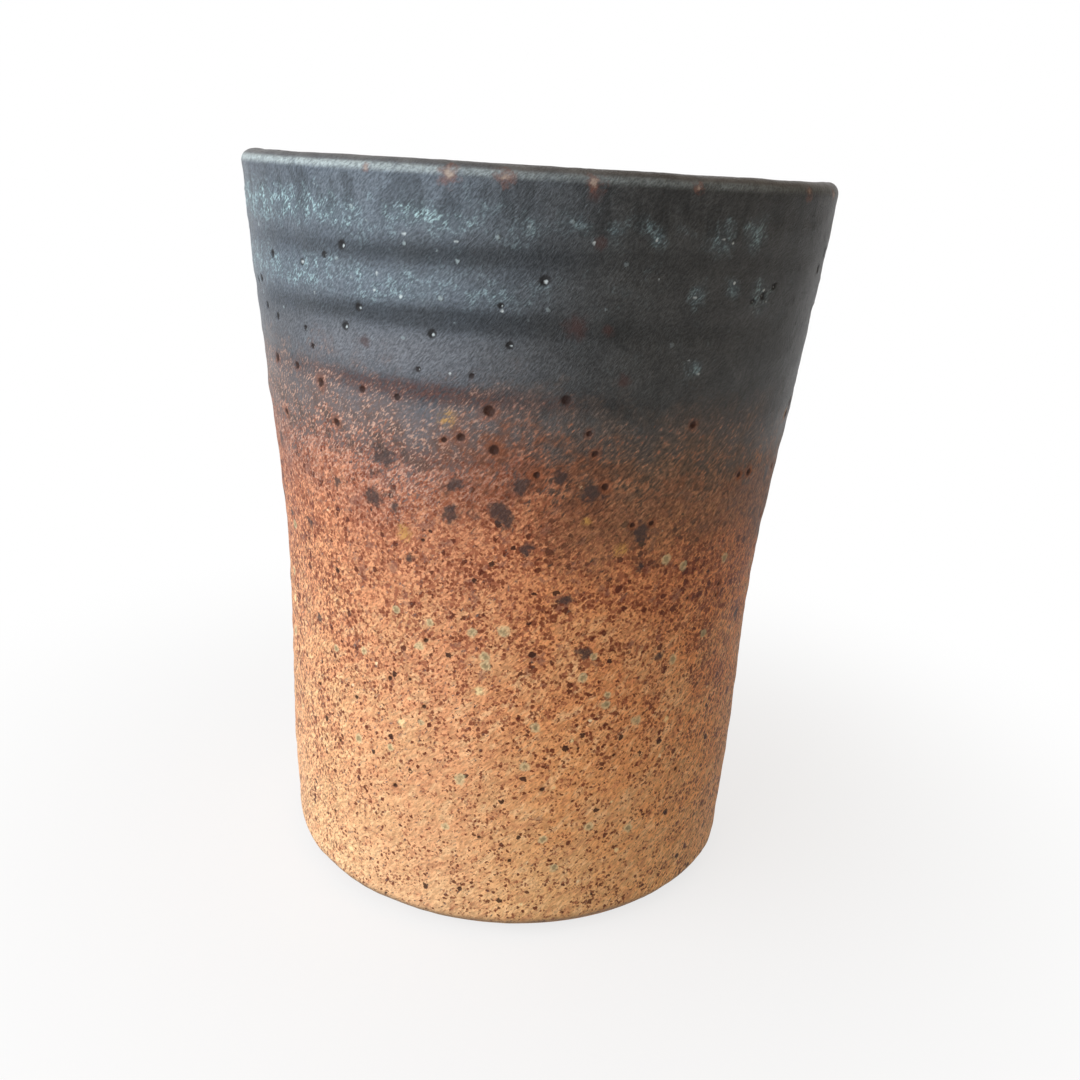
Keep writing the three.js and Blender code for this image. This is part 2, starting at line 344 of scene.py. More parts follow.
class Graph:
    """The nodes of one material or world, made by short methods."""

    def __init__(self, tree):
        self.tree = tree
        self.tree.nodes.clear()

    def node(self, kind, inputs=None, **settings):
        """The outputs of a new node. Inputs, by index or name, are outputs to link or constants."""
        made = self.tree.nodes.new(kind)
        for key, value in settings.items():
            setattr(made, key, value)
        for key, value in (inputs or {}).items():
            if isinstance(value, bpy.types.NodeSocket):
                self.tree.links.new(value, made.inputs[key])
            else:
                made.inputs[key].default_value = value
        return made.outputs

    def field(self, name, output="Fac"):
        return self.node("ShaderNodeAttribute", attribute_name=name)[output]

    def parts(self, vector):
        """The vector's X, Y and Z."""
        return self.node("ShaderNodeSeparateXYZ", {0: vector})

    def scaled(self, vector, shares):
        """The vector with each axis times its share; a low share draws features out."""
        return self.node("ShaderNodeVectorMath", {0: vector, 1: shares}, operation="MULTIPLY")[0]

    def place(self):
        """Object coordinates in mm."""
        return self.scaled(self.node("ShaderNodeTexCoord")["Object"], [1 / MM] * 3)

    def noise(self, vector, size, detail=2.0, roughness=0.5, output="Fac"):
        """Fractal noise around 0.5 whose largest features are about size mm."""
        inputs = {"Vector": vector, "Scale": 1 / size, "Detail": detail, "Roughness": roughness}
        return self.node("ShaderNodeTexNoise", inputs)[output]

    def cells(self, vector, size):
        """Points about size mm apart: the distance to the nearest in mm, and its own random number."""
        nearest = self.node("ShaderNodeTexVoronoi", {"Vector": vector, "Scale": 1 / size})
        lot = self.node("ShaderNodeSeparateColor", {0: nearest["Color"]})[0]
        return self.product(nearest["Distance"], size), lot

    def warped(self, vector, size, reach):
        """The vector moved about by some reach mm, by a noise of that size, besides an even shift."""
        inputs = {0: self.noise(vector, size, output="Color"), 1: [4 * reach] * 3, 2: vector}
        return self.node("ShaderNodeVectorMath", inputs, operation="MULTIPLY_ADD")[0]

    def math(self, operation, first, second=0.0):
        return self.node("ShaderNodeMath", {0: first, 1: second}, operation=operation)[0]

    def product(self, *values):
        return reduce(lambda total, value: self.math("MULTIPLY", total, value), values)

    def sum(self, *values):
        return reduce(lambda total, value: self.math("ADD", total, value), values)

    def over(self, value, bar):
        return self.math("SUBTRACT", value, bar)

    def wander(self, noise, reach):
        """A noise around 0.5 as a length between about -reach and reach."""
        return self.product(self.over(noise, 0.5), 4 * reach)

    def fade(self, value, start, end, low=0.0, high=1.0, course="SMOOTHSTEP"):
        """Goes from low at start to high at end, smoothly unless another course is given."""
        inputs = dict(enumerate((value, start, end, low, high)))
        return self.node("ShaderNodeMapRange", inputs, interpolation_type=course)[0]

    def band(self, value, start, full, end, gone):
        """1 between full and end, fading to 0 at start and gone."""
        return self.product(self.fade(value, start, full), self.fade(value, gone, end))

    def ramp(self, value, stops):
        """Colours at stops (value, colour) along a value, going up."""
        first, last = stops[0][0], stops[-1][0]
        share = self.fade(value, first, last, course="LINEAR")
        output = self.node("ShaderNodeValToRGB", {0: share})[0]
        elements = output.node.color_ramp.elements
        while len(elements) < len(stops):
            elements.new(0.5)
        for element, (at, colour) in zip(elements, stops):
            element.position = (at - first) / (last - first)
            element.color = colour
        return output

    def mix(self, share, first, second, blend="MIX"):
        """Two colours mixed, by the node's sockets for colours."""
        inputs = {0: share, 6: first, 7: second}
        return self.node("ShaderNodeMix", inputs, data_type="RGBA", blend_type=blend)[2]

    def shade(self, colour, value):
        """The colour times a number."""
        return self.node("ShaderNodeVectorMath", {0: colour, "Scale": value}, operation="SCALE")[0]

    def seen(self):
        """1 for rays that show the surroundings, straight or in a reflection, 0 for those that light."""
        rays = self.node("ShaderNodeLightPath")
        shown = self.sum(rays["Is Camera Ray"], rays["Is Glossy Ray"], rays["Is Transmission Ray"])
        return self.math("MINIMUM", shown, 1.0)

    def bump(self, height, reach, **normal):
        """A normal from a height between 0 and 1 that stands for reach mm."""
        return self.node("ShaderNodeBump", {"Height": height, "Distance": reach * MM, **normal})[0]

    def surface(self, colour, roughness, normal, index):
        inputs = {"Base Color": colour, "Roughness": roughness, "Normal": normal, "IOR": index}
        shader = self.node("ShaderNodeBsdfPrincipled", inputs)[0]
        self.node("ShaderNodeOutputMaterial", {"Surface": shader})


def new_material(name):
    material = bpy.data.materials.new(name)
    material.use_nodes = True
    return material, Graph(material.node_tree)


# Glazes and clay. Lengths are in mm, and drops are counted down from the lip.

class OuterWall:
    """What the layers of both outer glazes share: a point's place, and noises."""

    def __init__(self, g):
        self.place = g.place()
        self.x = g.parts(self.place)["X"]
        # The left of the front, 0 to 1: some layers use it for the glaze's own colour, others to paint
        # sheen on the lit left and shade on the right.
        self.left = g.fade(self.x, 10, -12)
        self.flank = g.fade(g.math("ABSOLUTE", self.x), 11, 23)
        self.drop = g.field("drop")
        self.dip = g.field("dip")
        self.deep = g.math("POWER", g.field("groove"), 3)
        self.grain = g.field("grain", "Vector")
        streaks = g.scaled(self.grain, (1, 1, STREAK_STRETCH))
        self.dash = g.noise(streaks, 0.19, 3, 0.6)
        self.flame = g.noise(streaks, 0.31, 3, 0.62)
        self.curd = g.noise(self.place, 1.7, 4, 0.64)
        drift = g.noise(self.place, 4.5, 3, 0.6)
        licks = g.sum(g.wander(self.flame, 1.4), g.wander(drift, 2), g.wander(self.curd, 1.7))
        self.level = g.sum(self.dip, licks)
        self.rough_edge = g.wander(g.noise(self.place, 0.7, 3, 0.6), 0.4)


def specks(g, colour, vector, size, share, most, paint, strength):
    """Scattered specks up to most mm in radius, in that share of the cells."""
    distance, lot = g.cells(vector, size)
    radius = g.product(g.fade(lot, 1 - share, 1), most)
    inside = g.fade(g.over(distance, radius), 0.02, -0.04, 0, strength)
    return g.mix(inside, colour, paint)


def tan_ground(g, wall):
    """The tan glaze with its flecks, smudges and iron specks, and the weave of its grain."""
    place, left, flank = wall.place, wall.left, wall.flank
    level = g.sum(wall.drop, g.wander(g.noise(place, 7, 2), 3))
    colour = g.ramp(level, TAN_BY_DROP)
    # Warmer towards the right: painted warm shade on the side turned from the key light.
    colour = g.mix(g.fade(left, 1, 0), colour, TAN_SHADED_SIDE_TINT, "MULTIPLY")
    patch = g.fade(g.noise(place, 4.5, 3), 0.42, 0.6, 0, 0.4)
    colour = g.mix(g.product(patch, g.fade(level, 34, 46)), colour, TAN_OLIVE)
    mottle = g.noise(wall.grain, 1.1, 3, 0.6)
    pale = g.product(g.fade(mottle, 0.5, 0.68, 0, 0.5), g.fade(level, 32, 50))
    colour = g.mix(pale, colour, TAN_PALE)
    colour = g.mix(g.fade(mottle, 0.48, 0.32, 0, 0.5), colour, TAN_RUDDY)
    weave = g.noise(wall.grain, 0.32, 2, 0.55)
    least = g.fade(flank, 0, 1, g.fade(level, 42, 66, 0.72, 0.77), 0.56)
    most = g.fade(flank, 0, 1, g.fade(level, 42, 66, 1.26, 1.23), 1.42)
    colour = g.shade(colour, g.fade(weave, 0.3, 0.7, least, most))

    crowd = g.noise(place, 3.2, 3, 0.6)
    ragged = g.warped(place, 0.3, 0.1)
    fleck = g.noise(ragged, 0.4, 2, 0.55)
    fleck_bar = g.sum(g.fade(level, 22, 66, 0.46, 0.6), g.fade(crowd, 0.35, 0.65, 0.03, -0.03))
    colour = g.mix(g.fade(g.over(fleck, fleck_bar), -0.02, 0.08, 0, 0.8), colour, FLECK_BROWN)
    smudge = g.noise(place, 1.4, 3, 0.6)
    smudge_bar = g.fade(level, 24, 66, 0.54, 0.67)
    colour = g.mix(g.fade(g.over(smudge, smudge_bar), 0, 0.08, 0, 0.5), colour, SMUDGE_BROWN)

    thin = g.product(
        g.fade(level, 40, 70, 1, 0.78),
        g.fade(crowd, 0.35, 0.65, 0.62, 1.2),
        g.fade(left, 0, 1, 1.15, 1),
        g.fade(flank, 0, 1, 1, 1.22),
    )
    torn = g.warped(place, 0.4, 0.16)
    layers = (
        (ragged, 0.42, 1, g.product(thin, 0.21), SPECK_RUST, 0.85),
        (torn, 0.62, 0.6, g.fade(level, 36, 56, 0.1, 0.21), SPECK_BROWN, 0.92),
        (torn, 0.95, 0.6, g.product(thin, 0.3), SPECK_DARK, 0.9),
        (torn, 1.9, 0.62, 0.36, SPECK_BLACK, 0.92),
        (ragged, 2.6, 0.5, 0.24, SPECK_PALE, 0.8),
    )
    for layer in layers:
        colour = specks(g, colour, *layer)
    return colour, weave


def slate_ground(g, wall):
    """The dark glaze: blue-black, with painted sheen on the left and painted shade on the right, frosty on
    the upper ridges, darker in the grooves.
    """
    place, drop, left, dash = wall.place, wall.drop, wall.left, wall.dash
    cloud = g.noise(place, 5, 3)
    blue = g.mix(g.fade(cloud, 0.35, 0.65), SLATE_GREY, SLATE_BLUE)
    # Darker and greyer towards the right: painted shade.
    colour = g.mix(left, SLATE_SHADED_RIGHT, blue)
    mottle = g.noise(place, 2.4, 4, 0.62)
    colour = g.shade(colour, g.fade(mottle, 0.3, 0.7, 0.8, 1.2))
    # Painted sheen: paler where the key light would shine off the glaze, most on the left.
    painted_sheen_tone = g.mix(g.fade(drop, 11, 15), PAINTED_SHEEN_BLUE, PAINTED_SHEEN_GREY)
    colour = g.mix(g.product(g.field("painted_sheen"), 0.9), colour, painted_sheen_tone)

    curl = g.noise(place, 0.9, 4, 0.65)
    ragged = g.noise(place, 1.5, 4, 0.66)
    # A bloom and flecks of frost, both stronger on the lit left, where they are partly painted sheen.
    bloom_and_sheen = g.product(
        g.fade(g.sum(g.field("frost_and_sheen"), g.wander(ragged, 0.3)), 0.05, 0.95),
        g.fade(curl, 0.38, 0.58, 0.4, 1),
    )
    frost_and_sheen = g.product(g.fade(g.sum(dash, curl), 0.98, 1.26), bloom_and_sheen, g.fade(left, 0, 1, 0.6, 1))
    colour = g.mix(g.product(bloom_and_sheen, 0.55), colour, BLOOM_AND_SHEEN_BLUE)
    colour = g.mix(g.product(frost_and_sheen, 0.95), colour, FROST_PALE)

    drips = g.noise(g.scaled(place, (1, 1, 0.35)), 1.6, 3, 0.6)
    drip = g.product(g.fade(drips, 0.45, 0.62), g.band(drop, 0.9, 1.6, 3, 6.5))
    colour = g.shade(colour, g.fade(drip, 0, 1, 1, 0.66))
    # Painted highlight: a pale line along the lip's rounded edge, strongest on the far left.
    far_left = g.fade(wall.x, 6, -20, 0.3, 1)
    line = g.product(g.band(drop, 0.3, 0.6, 0.8, 1.4), g.fade(curl, 0.1, 0.6), far_left, 0.8)
    colour = g.mix(line, colour, LIP_HIGHLIGHT_PALE)
    colour = g.shade(colour, g.fade(dash, 0.3, 0.72, 0.64, 1.44))
    # Grooves darker, partly from glaze pooled in them and partly from painted shade, most on the lit left;
    # ridges a little paler.
    return g.shade(colour, g.fade(wall.deep, 0, 1, 1.06, g.fade(left, 0, 1, 0.76, 0.5)))


def meeting(g, wall, slate, tan):
    """The dark glaze thinning into the tan one, in slanted licks, rust lines and curdled patches, with
    painted glints on the left and painted shade at the far sides.
    """
    drop, left, level, flame, curd = wall.drop, wall.left, wall.level, wall.flame, wall.curd
    haze = g.mix(left, HAZE_RIGHT, HAZE_LEFT)
    veil = g.mix(g.fade(level, 16, 23), slate, haze)
    reach = g.product(g.fade(wall.dip, 16.5, 20), g.fade(left, 0, 1, 0.8, 1))
    lick = g.product(g.wander(flame, 0.8), reach)
    cover = g.sum(g.fade(level, 19.5, 29), lick)
    colour = g.mix(g.fade(cover, 0.25, 0.75), veil, tan)

    lines = g.sum(g.band(drop, 17.2, 18.4, 19.2, 20.6), g.band(drop, 23.4, 24.4, 25, 26.2))
    rust = g.product(wall.deep, lines, g.fade(flame, 0.3, 0.65), left, 0.85)
    colour = g.mix(rust, colour, RUST_LINE)
    curd_bar = g.fade(level, 22, 36, 0.48, 0.72)
    curdled = g.fade(g.over(curd, curd_bar), -0.02, 0.1, 0, 0.75)
    colour = g.mix(g.product(curdled, g.fade(level, 20.5, 24)), colour, CURD_GREY)
    # Pale flecks in the licks, mostly on the left: painted glints off the rough glaze.
    painted_sparkle = g.product(
        g.fade(g.sum(flame, wall.dash), 1.02, 1.22),
        g.band(level, 17.5, 22, 26, 33),
        g.fade(left, 0.25, 1, 0.05, 0.8),
    )
    colour = g.mix(painted_sparkle, colour, PAINTED_SPARKLE_PALE)

    dull = g.product(g.fade(left, 0.5, 0), g.band(level, 20, 25, 29, 36), 0.55)
    colour = g.mix(dull, colour, OLIVE_BROWN)
    ember = g.product(
        g.band(wall.x, -12, -3, 5, 12),
        g.band(level, 20, 23.5, 27, 33),
        g.fade(curd, 0.4, 0.6, 0.25, 0.6),
    )
    colour = g.mix(ember, colour, EMBER_BROWN)
    patchy = g.product(g.wander(flame, 0.75), g.band(level, 17.5, 21, 28, 36), g.fade(left, 0.9, 0.2))
    colour = g.shade(colour, g.sum(patchy, 1))
    # Painted shade: darker towards the far left and the far right of the front.
    painted_shade_left = g.product(g.fade(wall.x, -18, -23), g.band(drop, 11, 13, 27, 33), -0.15)
    painted_shade_right = g.product(g.fade(wall.x, 17, 25), g.fade(level, 26, 18), -0.4)
    return g.shade(colour, g.sum(painted_shade_left, painted_shade_right, 1))


def spotted(g, wall, colour, field, ragged, edge, core, strength, paint, broken=1):
    """Blemishes of one kind: in full within core, gone beyond edge, both in shares of their radius."""
    away = g.sum(g.field(field), g.product(wall.rough_edge, ragged))
    share = g.product(g.fade(away, edge, core, 0, strength), broken)
    return g.mix(share, colour, paint)


def blotched(g, wall, colour):
    """Rust, slate and ochre blotches, pale ringed dots and cream grains."""
    flame = wall.flame
    kinds = (
        ("rust", 1.2, 1.5, 0.3, 0.65, RUST_DARK),
        ("slate", 2, 1.4, 0.5, 0.88, BLOTCH_SLATE, g.fade(flame, 0.3, 0.5, 0.7, 1)),
        ("ochre", 1, 1.3, 0.2, 0.8, OCHRE_YELLOW, g.fade(flame, 0.35, 0.6)),
        ("celadon", 1, 1.25, 0.8, 0.62, CELADON_PALE, g.fade(flame, 0.3, 0.55, 0.6, 1)),
        ("celadon", 1, 0.75, 0.35, 0.72, CELADON_OLIVE),
        ("cream", 1.4, 1.1, 0.3, 0.85, CREAM_PALE),
    )
    for kind in kinds:
        colour = spotted(g, wall, colour, *kind)
    return colour


def bubbles(g, wall):
    """Tiny bubbles of the dark glaze, 0 to 1."""
    distance, lot = g.cells(g.warped(wall.place, 0.3, 0.07), 1.5)
    radius = g.fade(lot, 0.4, 1, 0, 0.26)
    inside = g.fade(g.over(distance, radius), 0.05, -0.1)
    return g.product(inside, g.band(wall.drop, 2, 4, 12, 18))


def pitted(g, wall, colour):
    """Pinholes: black in the dark glaze, brown with a rusty halo in the tan one."""
    pit = g.sum(g.field("pit"), g.product(wall.rough_edge, 0.5))
    halo = g.product(g.fade(pit, 2.4, 1.2), g.fade(wall.level, 17, 22), 0.34)
    colour = g.mix(halo, colour, PIT_RUST)
    floor = g.mix(g.fade(wall.dip, 15, 20), PIT_BLACK, PIT_BROWN)
    return g.mix(g.fade(pit, 1.2, 0.7, 0, 0.93), colour, floor)


def worn(g, wall, colour):
    """The lip, rubbed paler and broken through to the clay, and the glaze's end on the heel."""
    lip = g.fade(g.math("ABSOLUTE", wall.drop), 0.8, 0.2, 0, 0.7)
    colour = g.mix(lip, colour, g.mix(g.fade(wall.curd, 0.35, 0.62), LIP_DARK, LIP_PALE))
    colour = spotted(g, wall, colour, "lip_break", 2, 1.3, 0.3, 0.55, LIP_BROWN)
    colour = spotted(g, wall, colour, "lip_break", 1, 0.6, 0.1, 0.6, LIP_BARE)
    return g.mix(g.fade(wall.drop, 72.9, 74.3, 0, 0.7), colour, END_BROWN)


def outer_glaze(name):
    """Both glazes of the outer wall as one surface, so that the coats meet without a seam."""
    material, g = new_material(name)
    wall = OuterWall(g)
    level = wall.level
    tan, weave = tan_ground(g, wall)
    colour = meeting(g, wall, slate_ground(g, wall), tan)
    colour = blotched(g, wall, colour)
    bubble = bubbles(g, wall)
    # Pale bubble tops, more on the left: painted glints. The bubbles also raise the bump and lower the
    # roughness.
    bubble_glint = g.product(bubble, g.fade(wall.left, 0, 1, 0.2, 0.6))
    colour = g.mix(bubble_glint, colour, BUBBLE_GLINT_PALE)
    colour = pitted(g, wall, colour)
    # Painted highlights: white glints, where the glaze is also smoother.
    glint = g.product(g.fade(g.field("glint"), 1.2, 0.5), g.fade(level, 22, 16))
    colour = g.mix(g.product(glint, 0.85), colour, GLINT_WHITE)
    colour = worn(g, wall, colour)
    inside = g.fade(wall.drop, -1.2, -5)
    colour = g.mix(g.product(inside, 0.85), colour, SLATE_GREY)

    roughness = g.sum(
        g.fade(level, 19, 27, 0.38, 0.55),
        g.product(glint, -0.2),
        g.product(bubble, -0.15),
        g.product(wall.deep, g.fade(level, 27, 19), 0.12),
    )
    depth = g.product(g.fade(inside, 0, 1, 1, 0.2), g.fade(level, 19, 27, 0.13, 0.12))
    height = g.product(g.mix(g.fade(level, 19, 26), wall.dash, weave), depth)
    normal = g.bump(height, 1, Normal=g.bump(bubble, 0.08))
    g.surface(colour, roughness, normal, OUTER_INDEX)
    return material


def liner_material(name):
    """The poured liner: dark grey-brown, browner on the throwing rings, bluer where it pooled."""
    material, g = new_material(name)
    place = g.place()
    height = g.field("height")
    cloud = g.noise(place, 6, 3)
    speck = g.noise(place, 0.7, 3, 0.6)
    colour = g.mix(g.fade(cloud, 0.35, 0.65), LINER_DARK, LINER_PALE)
    brown = g.product(g.field("groove"), g.fade(speck, 0.42, 0.6))
    colour = g.mix(brown, colour, LINER_BROWN)
    rise = g.sum(height, g.wander(cloud, 3), g.wander(speck, 1))
    colour = g.mix(g.fade(rise, 56, 68), colour, LINER_SLATE)
    pool = g.fade(g.sum(height, g.wander(cloud, 2)), 16, 7, 0, 0.7)
    colour = g.mix(pool, colour, LINER_BLUE)
    colour = g.shade(colour, g.fade(speck, 0.3, 0.7, 0.85, 1.15))
    roughness = g.fade(cloud, 0.3, 0.7, 0.32, 0.44)
    g.surface(colour, roughness, g.bump(speck, 0.05), LINER_INDEX)
    return material


def clay_material(name):
    """Bare fired stoneware: warm tan-brown, dry, with fine grog and iron specks."""
    material, g = new_material(name)
    place = g.place()
    cloud = g.noise(place, 9, 3)
    grit = g.noise(place, 0.5, 3, 0.65)
    colour = g.mix(g.fade(cloud, 0.35, 0.65), CLAY_DARK, CLAY_PALE)
    colour = g.shade(colour, g.fade(grit, 0.3, 0.7, 0.8, 1.12))
    distance, lot = g.cells(place, 1.3)
    speck = g.fade(g.over(distance, g.fade(lot, 0.3, 1, -0.1, 0.26)), 0.04, -0.03)
    colour = g.mix(speck, colour, CLAY_SPECK)
    roughness = g.fade(grit, 0.3, 0.7, 0.8, 0.95)
    g.surface(colour, roughness, g.bump(grit, 0.1), CLAY_INDEX)
    return material


# Outlines

def smooth_radius(z):
    """Finished outer radius without the rings: a cubic through the stations."""
    i = np.clip(np.searchsorted(station_heights, z) - 1, 0, len(station_heights) - 2)
    span = station_heights[i + 1] - station_heights[i]
    t = (z - station_heights[i]) / span
    start = (2 * t**3 - 3 * t**2 + 1) * station_radii[i]
    start = start + (t**3 - 2 * t**2 + t) * span * station_slopes[i]
    end = (3 * t**2 - 2 * t**3) * station_radii[i + 1]
    end = end + (t**3 - t**2) * span * station_slopes[i + 1]
    return start + end


def inner_radius(z):
    """Finished inner radius: the wall thins evenly from the floor to the lip."""
    share = (z - clay_floor) / (lip_base - clay_floor)
    return smooth_radius(z) - (BASE_WALL + (LIP_WALL - BASE_WALL) * share)


def arc(centre_r, centre_z, radius, start, end):
    """Points (r, z) on a circle's arc, by angles in degrees from straight out."""
    angles = np.radians(np.linspace(start, end, ARC_SAMPLES))
    return np.stack([centre_r + radius * np.cos(angles), centre_z + radius * np.sin(angles)], axis=1)


def wall_points(radius_at, low, high):
    z = np.linspace(low, high, WALL_SAMPLES)
    return np.stack([radius_at(z), z], axis=1)


def turned_points(r, turn, z):
    """Points at a radius, an angle from the front and a height."""
    return np.stack([r * np.sin(turn), -r * np.cos(turn), z], axis=-1)


class Path:
    """An outline of (r, z) points that can be read off by the length along it."""

    SAME = 1e-6  # points nearer than this are one
    REACH = 0.02  # each way, for the direction at a point

    def __init__(self, *stretches):
        points = np.concatenate(stretches)
        steps = np.linalg.norm(np.diff(points, axis=0), axis=1)
        keep = np.concatenate([[True], steps > self.SAME])
        self.points = points[keep]
        self.lengths = np.concatenate([[0.0], np.cumsum(steps[keep[1:]])])

    def at(self, length):
        r = np.interp(length, self.lengths, self.points[:, 0])
        z = np.interp(length, self.lengths, self.points[:, 1])
        return r, z

    def side(self, length):
        """The unit normal (r, z), to the right of the way along the outline."""
        r0, z0 = self.at(length - self.REACH)
        r1, z1 = self.at(length + self.REACH)
        size = np.hypot(r1 - r0, z1 - z0)
        return (z1 - z0) / size, (r0 - r1) / size

    def surface(self, turn, length):
        """Radii and heights, points and unit normals of the turned outline."""
        r, z = self.at(length)
        out_r, out_z = self.side(length)
        return r, z, turned_points(r, turn, z), turned_points(out_r, turn, out_z)

    def length_at(self, height, last=False):
        """The length at which the outline first or last comes closest to a height."""
        gaps = np.abs(self.points[:, 1] - height)
        nearest = np.flatnonzero(gaps < gaps.min() + self.SAME)
        return self.lengths[nearest[-1 if last else 0]]

    def length_up_to(self, height):
        """The length at a height on the way up to the outline's top."""
        rising = np.argmax(self.points[:, 1]) + 1
        return np.interp(height, self.points[:rising, 1], self.lengths[:rising])


def rows_between(start, end, step):
    return np.linspace(start, end, max(2, int(round(abs(end - start) / step)) + 1))


def rows_along(marks, steps):
    """Rows along an outline, one on each mark but the two ends, with a step for each stretch."""
    stretches = [rows_between(low, high, step)[1:] for low, high, step in zip(marks, marks[1:], steps)]
    return np.concatenate(stretches)[:-1]


def round_grid(columns, rows):
    """The angle and the length along the outline of each point of a grid."""
    return np.meshgrid(np.arange(columns) * 2 * np.pi / columns, rows)


# Surface fields

def waves(points, deviation, wavelength, squeeze, seed):
    """A smooth random field around 0, of about one wavelength."""
    points = points * (1, 1, squeeze)
    rng = np.random.default_rng(seed)
    directions = rng.normal(size=(WAVE_COUNT, 3))
    directions /= np.linalg.norm(directions, axis=1)[:, None]
    pitches = 2 * np.pi / (wavelength * rng.uniform(*WAVE_SPREAD, WAVE_COUNT))
    phases = rng.uniform(0, 2 * np.pi, WAVE_COUNT)
    total = np.zeros(points.shape[:-1])
    for direction, pitch, phase in zip(directions, pitches, phases):
        total += np.cos(points @ direction * pitch + phase)
    return deviation * (total * math.sqrt(2 / WAVE_COUNT))


def ease(value, start, end):
    """Goes smoothly from 0 at start to 1 at end."""
    t = np.clip((value - start) / (end - start), 0, 1)
    return t * t * (3 - 2 * t)


def bell(value, half_width):
    return np.exp(-((value / half_width) ** 2))


def angle_from(turn, angle):
    """Degrees round the wall from an angle, -180 to 180."""
    return (np.degrees(turn) - angle + 180) % 360 - 180


def scattered(seed, count, drops, radii, whole=False):
    """Random blemishes between two drops, round the back and sides, or all round if whole."""
    rng = np.random.default_rng(seed)
    half = 0.0 if whole else FRONT_HALF_ANGLE
    angles = rng.uniform(half, 360 - half, count)
    return list(zip(angles, rng.uniform(*drops, count), rng.uniform(*radii, count)))


def spot_centres(spots):
    """The points of the outer wall where blemishes lie."""
    angle, drop, _ = np.array(spots).T
    z = rim_top - drop
    return turned_points(smooth_radius(np.minimum(z, lip_base)), np.radians(angle), z)


def nearness(points, spots):
    """How far each point lies from the nearest blemish, counted in that blemish's radius."""
    least = np.full(points.shape[:-1], SPOT_REACH)
    for centre, (_, _, radius) in zip(spot_centres(spots), spots):
        near = np.abs(points[..., 2] - centre[2]) < SPOT_REACH * radius
        away = np.linalg.norm(points[near] - centre, axis=-1) / radius
        least[near] = np.minimum(least[near], away)
    return least


def ring_shares(z, turn):
    """How deep a point lies in a ring, 0 to about 1. Rings wander and fade a little round the wall."""
    total = np.zeros_like(z)
    fading = 1 - RING_FADING + RING_FADING * np.cos(2 * turn + RING_FADING_PHASE)
    for index, (drop, strength) in enumerate(zip(RING_DROPS, RING_STRENGTHS)):
        wander_phase, wobble_phase = np.multiply(RING_PHASES, index)
        wander = RING_WANDER * np.sin(turn + wander_phase) + RING_WOBBLE * np.sin(3 * turn + wobble_phase)
        across = np.clip(np.abs(z - (rim_top - drop) - wander) / RING_HALF_WIDTH, 0, 1)
        total += strength * fading * (1 + np.cos(np.pi * across)) / 2
    return total


def frost_and_sheen_share(points, drop, turn):
    """How frosty the dark glaze is, 0 to 1: on the upper ridges, most on the left where it is also painted
    sheen, and in a few spots.
    """
    ridges = sum(strength * bell(drop - at, half) for at, half, strength in FROST_RIDGES)
    drift = FRONT_FROST - LEFT_FROST_AND_SHEEN * np.sin(turn) + waves(points, *FROST_WAVES)
    spots = np.clip(SPOT_FROST_REACH - nearness(points, frost_spots), 0, 1)
    return np.maximum(np.clip(drift, 0, 1) * ridges, SPOT_FROST * spots)


def dip_depth(drop, turn):
    """The drop below the lip, counted from the dip line's own slant and runs."""
    depth = drop - DIP_SLANT * np.sin(turn)
    for angle, half_width, reach in DIP_RUNS:
        depth -= reach * bell(angle_from(turn, angle), half_width) * ease(drop, *DIP_RUN_DROPS)
    return depth


def painted_sheen_share(drop, turn, groove):
    """How much painted sheen pales the dark glaze, 0 to 1: most on the left of the front, towards the key
    light.
    """
    side = ease(np.sin(turn), *SHEEN_SIDES)
    share = side * (1 - SHEEN_GAIN + SHEEN_GAIN * bell(angle_from(turn, SHEEN_ANGLE), SHEEN_WIDTH))
    in_groove = 1 - SHEEN_LOSS_IN_GROOVES * np.clip(groove, 0, 1)
    return share * in_groove * (1 - SHEEN_LOSS_AT_LIP * (1 - ease(drop, *SHEEN_LIP_DROPS)))


pits = [
    *PITS,
    *scattered(11, 70, (6, 30), (0.28, 0.55)),
    *scattered(12, 40, (30, 70), (0.2, 0.3), whole=True),
]
# A painted glint in each pinhole of the dark glaze
right, down, size = PIT_GLINT
pit_glints = [(angle + right, drop + down * r, size * r) for angle, drop, r in pits if drop < GLINT_DROP]
frost_spots = [*FROST_SPOTS, *scattered(20, 10, (4, 11), (1.2, 2.2))]
blemishes_and_glints = {
    "pit": pits,
    "slate": [*SLATE_BLOTCHES, *scattered(13, 60, (24, 46), (0.45, 1))],
    "celadon": [*CELADON_DOTS, *scattered(14, 70, (33, 69), (0.36, 0.6))],
    "cream": [*CREAM_GRAINS, *scattered(15, 26, (40, 72), (0.25, 0.55))],
    "ochre": [*OCHRE_SPOTS, *scattered(16, 12, (20, 34), (0.5, 0.85))],
    "rust": [*RUST_SPOTS, *scattered(19, 10, (4, 17), (0.5, 0.9))],
    "lip_break": [*LIP_BREAKS, *scattered(17, 12, (0.9, 1.2), (0.5, 0.9))],
    "glint": [*GLINTS, *scattered(24, 40, (3, 17), (0.15, 0.24)), *pit_glints],
    "blister": scattered(18, 260, (3, 14), (0.3, 0.5), whole=True),
}


# Meshes

# The map: the shown rows in two stacked halves, a strip for the hidden rows, and one for the poles
MAP_MARGIN = 0.01
MAP_FOOT = 0.005
MAP_HALF_PITCH = 0.48
MAP_HALF_HEIGHT = 0.465
MAP_HIDDEN_FOOT = 0.97
MAP_HIDDEN_HEIGHT = 0.025
MAP_HIDDEN_FILL = 0.8
MAP_POLE_STARTS = (0.0, 0.5)
MAP_POLE_WIDTH = 0.49
MAP_POLE_FOOT = 0.9965
MAP_POLE_TIP = 0.999


